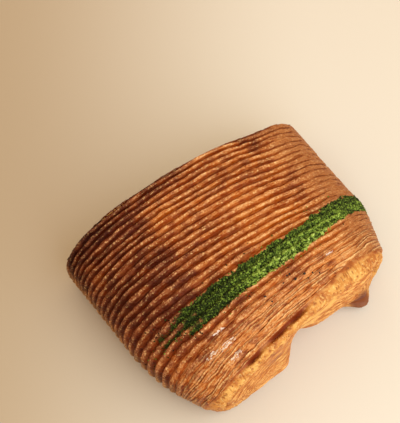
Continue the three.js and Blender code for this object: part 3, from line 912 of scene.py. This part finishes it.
def face_form(u, v):
    """From the skin at the cut in to the core, pushed back wherever it is hollow."""
    x, z, _ = skin(u, np.zeros_like(u))
    run, rise, length = inward(x, z)
    inset = ALMOST_ALL * length * (0.35 * v + 0.65 * v ** 1.35)
    x, z = x + run * inset, z + rise * inset
    ragged_x = x + 0.55 * noise(x / 1.7, z / 1.7, 30) + 0.22 * noise(x / 0.6, z / 0.6, 41)
    ragged_z = z + 0.55 * noise(x / 1.7, z / 1.7, 31) + 0.22 * noise(x / 0.6, z / 0.6, 42)

    depth = small_hollow_depth(ragged_x, ragged_z)
    small_hollow = smoothstep(0.2, 1.2, depth)
    share = {name: hollow_share(name, ragged_x, ragged_z) for name in HOLLOW_EDGES}
    web = web_strands(x, z, share["upper"])
    for name, full_depth in HOLLOW_DEPTHS.items():
        stands = WEB_STANDS * web if name == "upper" else 0
        depth = np.maximum(depth, full_depth * share[name] * (1 - stands))
    flap = smoothstep(-0.1, 0.5, depth_inside(TORN_FLAP, ragged_x, ragged_z))
    depth = depth * (1 - flap) + flap * (0.5 + 0.12 * (21 - z).clip(0))
    to_filling = depth_inside(FILLING_OUTLINE, x, z)
    depth = np.maximum(depth, FILLING_RECESS * smoothstep(-0.2, 0.9, to_filling) * (1 - flap))

    toast, leaf_gap = rim_layers(x, z, inset)
    open_inside = np.maximum.reduce([share["upper"], share["right"], share["left"]]) * (1 - flap)
    hollow = np.maximum(smoothstep(0, 0.12, open_inside), small_hollow)
    solid = (1 - hollow) * (1 - 0.8 * smoothstep(0, 0.3, share["membrane"]))
    pores = (1 - smoothstep(0.1, 0.5, cells(x, z, PORE_SIZE, 35))) * solid
    bigger = (1 - smoothstep(0.15, 0.4, cells(x, z, BUBBLE_SIZE, 36))) * solid
    bigger = bigger * smoothstep(0.1, 0.5, noise(x / 5, z / 5, 37)) * (1 - toast)
    rough = 0.25 + 0.3 * noise(x / 0.8, z / 0.8, 38) * solid + 0.3 * noise(x / 3, z / 3, 39)
    depth = depth + (0.9 * leaf_gap + 0.35 * pores + 0.8 * bigger) * smoothstep(0.05, 0.4, inset)
    depth = depth + rough * smoothstep(0, 0.5, inset)

    near_filling = smoothstep(-2.2, -0.3, to_filling + 0.9 * noise(x / 2, z / 2, 40))
    far_right = share["right"] * (1 - smoothstep(13, 19, x))
    # The hollows' shares, the small hollows, the leaf gaps and the pores carry painted shade that deepens
    # inside them.
    values = {
        "toast": toast, "rind": 1 - smoothstep(0.15, 0.6, inset), "leaf_gap": np.clip(leaf_gap, 0, 1),
        "hollow": hollow, "membrane": smoothstep(0.0, 0.35, share["membrane"]) * (1 - flap) * (1 - hollow),
        "upper": share["upper"] * (1 - web), "right": share["right"] * (1 - flap),
        "deep_shade": np.maximum(share["left"], far_right) * (1 - flap), "green": near_filling * (1 - flap),
        "ochre": share["right"] * (1 - smoothstep(16, 22, z)) * (1 - flap), "small_hollow": small_hollow,
        "pores": np.clip(pores * 0.5 + bigger, 0, 1), "bubble": blob(x, z, *BROWN_BUBBLE),
        "spread": np.stack([x, z, depth], axis=1),
    }
    return (*place(x, z, np.maximum(depth, 0.02)), values)


def crumb_finish():
    """Pale green-yellow crumb, olive on the thin walls, with a toasted golden rim, and painted shade from
    olive-brown to near black deep in the hollows, in the small bubbles, in the pores and between the rim's
    leaves."""
    material, tree, shader = new_material("matcha_crumb", 0.5, coat=0.1)
    shader.inputs["Subsurface Weight"].default_value = 0.1
    shader.inputs["Subsurface Radius"].default_value = (0.002, 0.0016, 0.0006)
    spread = attribute(tree, "spread", "Vector")
    fine, fine_height = grain(tree, 1100)
    patchy = noise_value(tree, spread, 0.3, 4, 0.6)
    crumb = ramp(tree, patchy, (0.34, (232, 224, 132)), (0.5, (246, 244, 184)), (0.66, (253, 253, 222)))
    walls = ramp(tree, patchy, (0.35, (150, 144, 72)), (0.5, (180, 176, 104)), (0.65, (204, 204, 144)))
    smooth = ramp(tree, patchy, (0.3, (196, 180, 92)), (0.5, (216, 204, 120)), (0.7, (228, 222, 160)))
    toasted = ramp(tree, fine, (0.35, (182, 108, 36)), (0.5, (214, 152, 66)), (0.66, (242, 206, 124)))
    # The pores are painted a little darker as shade.
    base = stain(
        tree, crumb, ("pores", 1.0, (200, 190, 112)), ("membrane", 0.9, walls), ("hollow", 1.0, smooth))
    # Painted shade, darker the further into each hollow.
    for name, shallow, deep, shade in (
        ("upper", 0.45, 0.95, (138, 116, 52)), ("right", 0.75, 1.1, (168, 150, 80)),
        ("ochre", 0.3, 0.9, (138, 104, 36)), ("deep_shade", 0.2, 0.7, (58, 44, 6)),
    ):
        base = blend(tree, ranged(tree, attribute(tree, name), shallow, deep), base, shade)
    # Painted shade in the small bubbles and between the rim's leaves.
    base = stain(
        tree, base,
        ("green", 0.75, (164, 164, 50)), ("toast", 1.0, toasted), ("leaf_gap", 1.0, (132, 68, 12)),
        ("small_hollow", 1.0, (92, 62, 22)), ("rind", 1.0, (104, 56, 22)), ("bubble", 1.0, (196, 116, 44)),
    )
    tree.links.new(base, shader.inputs["Base Color"])
    bumps(tree, shader, (patchy, 0.0005, 0.5), (fine_height, 0.00018, 0.8))
    return material


cut_face = ring_piece("crumb_at_cut", FACE_COLUMNS, FACE_RINGS, face_form, (0, 1, 0), close_last=True)
cut_face.data.materials.append(crumb_finish())
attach(cut_face, "root")
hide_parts("dough")


# --- Matcha filling ---------------------------------------------------------------
# A moist dark green paste that was spread on the dough before it was rolled. It shows
# at the cut as crumbly lumps with gaps between them.

FILLING_COLUMNS, FILLING_RINGS = 590, 166
FILLING_STEPS = 901
FILLING_LENGTH, FILLING_NOSE = 44.0, 9.0
FILLING_MIDDLE_HALF, FILLING_MIDDLE_Z = 30.0, 8.0
FRONT_SHARE = 0.62  # of the rings, for the front
FIT_GAP = 0.35
LUMP_SIZE, CRUMB_SIZE = 3.3, 1.1
TORN_PATCH = (-14, 16.6, 10, 3.4)  # middle x and z, half width and height
GREY_LUMP = (4.0, 7.4, 8.0, 3.8, 0.2)  # the same, and how soft its edge is
VOID, HOLE = (-1.4, 11.6, 5.0, 2.9, 0.4), (33.6, 8.8, 1.7, 1.1, 0.5)
YELLOW_PATCH = (-14, 17.2, 11, 4.2, 0.6)
LIGHT_SPOT = (34.0, 12.0, 1.0, 0.7)
VOID_DEPTH, HOLE_DEPTH = 7.0, 3.0


def round_loop(points):
    """A closed outline through points, its corners rounded, at even steps."""
    loop = points.copy()
    for _ in range(3):
        after = np.roll(loop, -1, axis=0)
        loop = np.stack([loop * 0.75 + after * 0.25, loop * 0.25 + after * 0.75], axis=1).reshape(-1, 2)
    closed = np.vstack([loop, loop[:1]])
    way = np.concatenate(([0], np.cumsum(np.hypot(*np.diff(closed, axis=0).T))))
    steps = np.linspace(0, way[-1], FILLING_STEPS)
    return np.interp(steps, way, closed[:, 0]), np.interp(steps, way, closed[:, 1])


FILLING_X, FILLING_Z = round_loop(FILLING_OUTLINE)


def filling_form(u, v):
    """From the middle of the front out to its edge, then back along the sides."""
    even_steps = np.linspace(0, 1, FILLING_STEPS)
    edge_x, edge_z = np.interp(u, even_steps, FILLING_X), np.interp(u, even_steps, FILLING_Z)
    run = np.clip(edge_x, -FILLING_MIDDLE_HALF, FILLING_MIDDLE_HALF) - edge_x
    rise = FILLING_MIDDLE_Z - edge_z
    length = np.hypot(run, rise)
    run, rise = run / length, rise / length
    front = np.clip((FRONT_SHARE - v) / FRONT_SHARE, 0, 1)
    distance = FILLING_LENGTH * np.clip((v - FRONT_SHARE) / (1 - FRONT_SHARE), 0, 1) ** 1.3
    nose = np.clip((distance - FILLING_LENGTH + FILLING_NOSE) / FILLING_NOSE, 0, 1)
    to_middle = np.maximum(front, 1 - np.sqrt(1 - nose ** 2 * 0.999))
    inset = FIT_GAP + (length - FIT_GAP) * ALMOST_ALL * to_middle
    x, z = edge_x + run * inset, edge_z + rise * inset

    bent_x, bent_z = x + 0.9 * noise(x / 2, z / 2, 50), z + 0.9 * noise(x / 2, z / 2, 55) + distance / 2
    lumps = smoothstep(0.85, 0.15, cells(bent_x, bent_z, LUMP_SIZE, 51))
    crumbs = smoothstep(0.8, 0.1, cells(bent_x, bent_z, CRUMB_SIZE, 56)) + 0.5 * noise(x / 0.4, z / 0.4, 52)
    torn = smoothstep(0.1, 0.6, noise(x / 1.5, z, 53)) * blob(x, z, *TORN_PATCH)
    grey_lump = blob(x, z, *GREY_LUMP)
    clefts = smoothstep(0.15, 0.65, noise(x / 3.4 + 3, z / 2.2, 54)) * smoothstep(4, -4, x)
    void, hole = blob(x, z, *VOID) * (1 - grey_lump), blob(x, z, *HOLE)
    on_front = smoothstep(0.0, 0.08, front)
    depth = 0.4 + 1.6 * (1 - lumps) * (1 - 0.7 * grey_lump) + 0.5 * (1 - crumbs) + 1.5 * torn + 2.0 * clefts
    depth = depth + 0.5 * (1 - grey_lump) + VOID_DEPTH * void + HOLE_DEPTH * hole
    depth = np.clip(depth, 0.04, 12) * on_front + 0.5 * (1 - on_front)
    side = (1 - on_front) * (0.35 * lumps + 0.12 * crumbs - 0.3)
    x, z = x - run * side, z - rise * side
    yellow = blob(x, z, *YELLOW_PATCH) + 0.7 * (1 - smoothstep(3.2, 5.2, z))
    values = {
        "yellow": np.clip(yellow, 0, 1), "grey": smoothstep(-6, 0, x) * (1 - smoothstep(24, 30, x)),
        "void": np.clip(void + hole, 0, 1), "cleft": np.clip((1 - lumps) * 0.8 + clefts + 0.6 * torn, 0, 1),
        "light_spot": blob(x, z, *LIGHT_SPOT), "olive": smoothstep(26, 30, x),
        "spread": np.stack([x, z, distance + depth], axis=1),
    }
    return (*place(x, z, distance + depth), values)


def filling_finish():
    """Dark green paste, crumbly and slightly moist, painted darker as shade in the clefts and the void."""
    material, tree, shader = new_material("matcha_paste", 0.5, coat=0.15, coat_roughness=0.4)
    spread = attribute(tree, "spread", "Vector")
    fine, fine_height = grain(tree, 1400)
    patchy = noise_value(tree, spread, 0.42, 5, 0.65)
    paste = ramp(
        tree, patchy,
        (0.34, (30, 42, 14)), (0.48, (50, 68, 32)), (0.58, (74, 92, 50)), (0.7, (120, 138, 88)))
    greyer = ramp(tree, patchy, (0.35, (58, 66, 28)), (0.5, (86, 96, 52)), (0.65, (116, 126, 78)))
    olive = ramp(tree, patchy, (0.35, (60, 72, 22)), (0.5, (96, 112, 44)), (0.65, (150, 164, 84)))
    yellower = ramp(tree, patchy, (0.35, (124, 130, 38)), (0.5, (168, 174, 74)), (0.65, (206, 212, 126)))
    base = stain(tree, paste, ("grey", 1.0, greyer), ("olive", 1.0, olive), ("yellow", 1.0, yellower))
    base = blend(tree, maths(tree, "MULTIPLY", ranged(tree, fine, 0.56, 0.66), 0.5), base, (150, 166, 96))
    # Painted shade in the clefts between lumps and in the void and the hole.
    base = stain(
        tree, base,
        ("cleft", 0.6, (26, 34, 8)), ("light_spot", 1.0, (206, 202, 140)), ("void", 1.0, (34, 32, 8)))
    tree.links.new(base, shader.inputs["Base Color"])
    bumps(tree, shader, (patchy, 0.0006, 0.7), (fine_height, 0.0002, 0.9))
    return material


filling = ring_piece(
    "matcha_filling_paste", FILLING_COLUMNS, FILLING_RINGS, filling_form, (0, 1, 0), close_last=True)
filling.data.materials.append(filling_finish())
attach(filling, "root")
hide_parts("matcha_filling")


# --- Matcha powder ----------------------------------------------------------------
# Green powder, sifted in a band over the ridges before serving. Its clumps sit on the
# crust and thin out towards the left side.

POWDER_TRIES, POWDER_GRAINS = 120000, 9500
POWDER_REACH = (31, 49)  # distances from the cut
POWDER_SIZES = (0.1, 0.32)
POWDER_LIFT = (-0.04, 0.16)
LUMP_STRETCH = (0.65, 1.25)


def scatter(name, points, sizes, shades, rng, detail=1, flat=1.0):
    """One mesh of many small lumps, each turned and stretched at random."""
    bm = bmesh.new()
    bmesh.ops.create_icosphere(bm, subdivisions=detail, radius=1)
    corners = np.array([vertex.co for vertex in bm.verts])
    triangles = np.array([[vertex.index for vertex in face.verts] for face in bm.faces])
    bm.free()
    count = len(points)
    turns, _ = np.linalg.qr(rng.normal(size=(count, 3, 3)))
    turns[np.linalg.det(turns) < 0] *= -1
    stretch = rng.uniform(*LUMP_STRETCH, (count, 1, 3)) * np.array([1, 1, flat])
    lumps = np.einsum("nij,nkj->nki", turns, corners[None] * stretch) * sizes[:, None, None]
    lumps = (lumps + points[:, None, :]) * MM
    mesh = bpy.data.meshes.new(name)
    faces = triangles[None] + np.arange(count)[:, None, None] * len(corners)
    mesh.vertices.add(count * len(corners))
    mesh.vertices.foreach_set("co", lumps.ravel())
    mesh.loops.add(faces.size)
    mesh.loops.foreach_set("vertex_index", faces.ravel())
    mesh.polygons.add(faces.size // 3)
    mesh.polygons.foreach_set("loop_start", np.arange(0, faces.size, 3))
    mesh.polygons.foreach_set("loop_total", np.full(faces.size // 3, 3))
    mesh.update(calc_edges=True)
    mesh.shade_smooth()
    shade = np.repeat(shades, len(corners)).astype(np.float32)
    mesh.attributes.new("shade", "FLOAT", "POINT").data.foreach_set("value", shade)
    piece = bpy.data.objects.new(name, mesh)
    bpy.context.collection.objects.link(piece)
    return piece


def on_skin(u, distance, lift):
    """Points that lie a little above the crust."""
    x, z, _ = skin(u, distance)
    normal_x, normal_z = section_normal(u)
    return np.stack(place(x + normal_x * lift, z + normal_z * lift, distance), axis=1)


def powder():
    """Clumps drawn at random, kept where the band is thick, with painted light: lighter from the left side
    towards the middle, at the band's lower edge and on the raised grains.
    """
    rng = np.random.default_rng(60)
    u = rng.uniform(BELLY_SHARE, 1 - BELLY_SHARE, POWDER_TRIES)
    distance = rng.uniform(*POWDER_REACH, POWDER_TRIES)
    x, z, values = skin(u, distance)
    upper, lower = powder_edges(x)
    clump = 0.5 + 0.5 * noise(x / 0.9, distance / 0.9, 61)
    thick = 1 - 0.75 * (1 - smoothstep(-36, -4, x))
    stray = 0.03 * hill(distance - 0.5 * (upper + lower), 4.2)
    stray = stray * smoothstep(-46, -30, x) * smoothstep(4, 10, z)
    kept = rng.uniform(0, 1, POWDER_TRIES) < values["powder"] * thick * (0.35 + 0.65 * clump) + stray
    u, distance, x, flank, upper, lower = (
        field[kept][:POWDER_GRAINS] for field in (u, distance, x, values["flank"], upper, lower))

    lift = rng.uniform(*POWDER_LIFT, len(u)) * (1 - 0.8 * flank)
    points = on_skin(u, distance, lift)
    sizes = rng.uniform(*POWDER_SIZES, len(u))
    # Painted light: grains are lighter from the left side towards the middle, at the band's lower edge and
    # where they stand higher.
    low_in_band = smoothstep(0.1, 0.75, (distance - upper) / (lower - upper))
    painted_light = smoothstep(-26, 6, x) * (0.3 + 0.7 * low_in_band) * (1 - 0.5 * smoothstep(24, 38, x))
    clump = smoothstep(0.25, 0.75, 0.5 + 0.5 * noise(x / 0.75, distance / 0.6, 62))
    shades = 0.14 + 0.6 * painted_light * (0.25 + 0.75 * clump) + rng.uniform(-0.24, 0.34, len(u))
    shades = shades + 0.1 * lift / POWDER_LIFT[1]
    return scatter("matcha_powder", points, sizes, np.clip(shades, 0, 1), rng)


def powder_finish():
    """Dry, dull powder, from dark to bright green."""
    material, tree, shader = new_material("matcha_powder", 0.85, specular=0.15)
    base = ramp(
        tree, attribute(tree, "shade"),
        (0.0, (18, 22, 8)), (0.25, (48, 58, 22)), (0.5, (104, 128, 44)), (0.75, (150, 178, 68)),
        (1.0, (190, 212, 110)),
    )
    tree.links.new(base, shader.inputs["Base Color"])
    return material


grains = powder()
grains.data.materials.append(powder_finish())
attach(grains, "root")
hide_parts("dough")


# --- Dark specks ------------------------------------------------------------------
# A few charred crumbs stuck in the glaze near the folded end.

SPECKS = (  # distance from the cut, x
    (47.7, 6.1), (49.8, 4.9), (49.6, 3.9), (52.5, 5.2), (53.0, 8.8), (54.9, 9.0), (55.9, 13.4),
    (60.0, 24.5), (50.6, -6.8), (53.2, -6.3), (53.9, -7.5), (47.5, -10.3), (51.0, 1.0), (54.2, 11.6),
)
SPECK_SIZES, SPECK_LIFT, SPECK_FLATNESS = (0.26, 0.46), 0.12, 0.7
CROWN_SAMPLES, MIDDLE_OF_SPECKS = 2000, 50.0


def specks():
    """Sets each speck at its place on the crust."""
    rng = np.random.default_rng(70)
    distance, wanted_x = np.array(SPECKS).T
    crown = np.linspace(BELLY_SHARE, 1 - BELLY_SHARE, CROWN_SAMPLES)
    crown_x, _, _ = skin(crown, np.full(CROWN_SAMPLES, MIDDLE_OF_SPECKS))
    u = np.interp(wanted_x, crown_x[::-1], crown[::-1])
    points = on_skin(u, distance, SPECK_LIFT)
    sizes = rng.uniform(*SPECK_SIZES, len(u))
    return scatter("dark_specks", points, sizes, np.zeros(len(u)), rng, 2, SPECK_FLATNESS)


charred = specks()
charred_material, _, charred_shader = new_material("charred_crumb", 0.6)
charred_shader.inputs["Base Color"].default_value = colour(20, 11, 6)
charred.data.materials.append(charred_material)
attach(charred, "root")
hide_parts("dough")


# --- Camera, light and the surface under it ---------------------------------------
# A plain cream surface, painted darker to the left as shade, under one broad light from the front right, a
# large reflector far behind and warm soft fill all round. The camera is high over the corner between the
# left side and the folded end.

CAMERA_AZIMUTH, CAMERA_ELEVATION = math.radians(-33.4), math.radians(65.8)
FOCAL_PIXELS, PIXELS_PER_MM = 1515.0, 3.11
PICTURE_WIDTH, PICTURE_HEIGHT = 400, 423
TARGET_PIXEL = (231.06, 264.7)
TARGET = Vector((AXIS_X, CUT_Y - 30.5, 18.0)) * MM
SENSOR_WIDTH, NEAREST, FARTHEST = 36, 0.05, 20
FLOOR_REACH, FLOOR_DROP = 3, 0.0001
# The floor's colour is painted darker to the left as shade.
FLOOR_LEFT_SHADE, FLOOR_RIGHT = (184, 166, 140), (226, 220, 208)
FLOOR_TURNS = (-0.1, 0.03)  # where it lightens, in metres to the camera's right


def studio_camera():
    """Stands back along the viewing angle, then turns until the middle of the piece
    falls on its pixel of the picture. Returns the directions right and up."""
    back = Vector((
        math.sin(CAMERA_AZIMUTH) * math.cos(CAMERA_ELEVATION),
        -math.cos(CAMERA_AZIMUTH) * math.cos(CAMERA_ELEVATION),
        math.sin(CAMERA_ELEVATION),
    ))
    right = Vector((math.cos(CAMERA_AZIMUTH), math.sin(CAMERA_AZIMUTH), 0))
    up = back.cross(right)
    aside = PICTURE_WIDTH / 2 - TARGET_PIXEL[0]
    above = TARGET_PIXEL[1] - PICTURE_HEIGHT / 2
    looking = (-back * FOCAL_PIXELS + right * aside + up * above).normalized()
    across = looking.cross(up).normalized()
    data = bpy.data.cameras.new("picture_camera")
    data.sensor_width = SENSOR_WIDTH
    data.lens = FOCAL_PIXELS / PICTURE_HEIGHT * SENSOR_WIDTH
    data.clip_start, data.clip_end = NEAREST, FARTHEST
    camera = bpy.data.objects.new("picture_camera", data)
    turn = Matrix((across, across.cross(looking), -looking)).transposed().to_4x4()
    camera.matrix_world = Matrix.Translation(TARGET + back * FOCAL_PIXELS / PIXELS_PER_MM * MM) @ turn
    bpy.context.collection.objects.link(camera)
    bpy.context.scene.camera = camera
    return right, up


def area_light(name, from_target, size, watts, tint):
    """A soft light that looks at the piece and doesn't show in the picture."""
    data = bpy.data.lights.new(name, "AREA")
    data.size = size
    data.energy = watts
    data.color = tint
    light = bpy.data.objects.new(name, data)
    light.location = TARGET + from_target
    light.rotation_euler = (-from_target).to_track_quat("-Z", "Y").to_euler()
    light.visible_camera = False
    bpy.context.collection.objects.link(light)


view_right, view_up = studio_camera()
window_place = view_right * 0.22 + Vector((0, 0, 0.31)) - view_up * 0.2
area_light("window", window_place, size=0.5, watts=1.6, tint=(0.86, 1.0, 1.06))
area_light("far_reflector", Vector((0.05, 0.8, 0.165)), size=0.7, watts=2.76, tint=(1.0, 0.97, 0.9))

world = bpy.data.worlds.new("studio")
world.use_nodes = True
world.node_tree.nodes["Background"].inputs["Color"].default_value = (1.0, 0.74, 0.5, 1)
world.node_tree.nodes["Background"].inputs["Strength"].default_value = 0.82
bpy.context.scene.world = world
bpy.context.scene.view_settings.view_transform = "Standard"


def surface():
    """The floor: one large square, a touch below the piece."""
    bm = bmesh.new()
    bmesh.ops.create_grid(bm, x_segments=1, y_segments=1, size=FLOOR_REACH)
    bmesh.ops.translate(bm, verts=bm.verts, vec=(0, 0, -FLOOR_DROP))
    mesh = bpy.data.meshes.new("surface")
    bm.to_mesh(mesh)
    bm.free()
    floor = bpy.data.objects.new("surface", mesh)
    bpy.context.collection.objects.link(floor)
    material, tree, shader = new_material("cream_surface", 0.75, specular=0.2)
    to_right = tree.nodes.new("ShaderNodeVectorMath")
    to_right.operation = "DOT_PRODUCT"
    to_right.inputs[1].default_value = view_right
    tree.links.new(tree.nodes.new("ShaderNodeTexCoord").outputs["Object"], to_right.inputs[0])
    share = ranged(tree, to_right.outputs["Value"], *FLOOR_TURNS)
    tree.links.new(blend(tree, share, FLOOR_LEFT_SHADE, FLOOR_RIGHT), shader.inputs["Base Color"])
    mesh.materials.append(material)


surface()
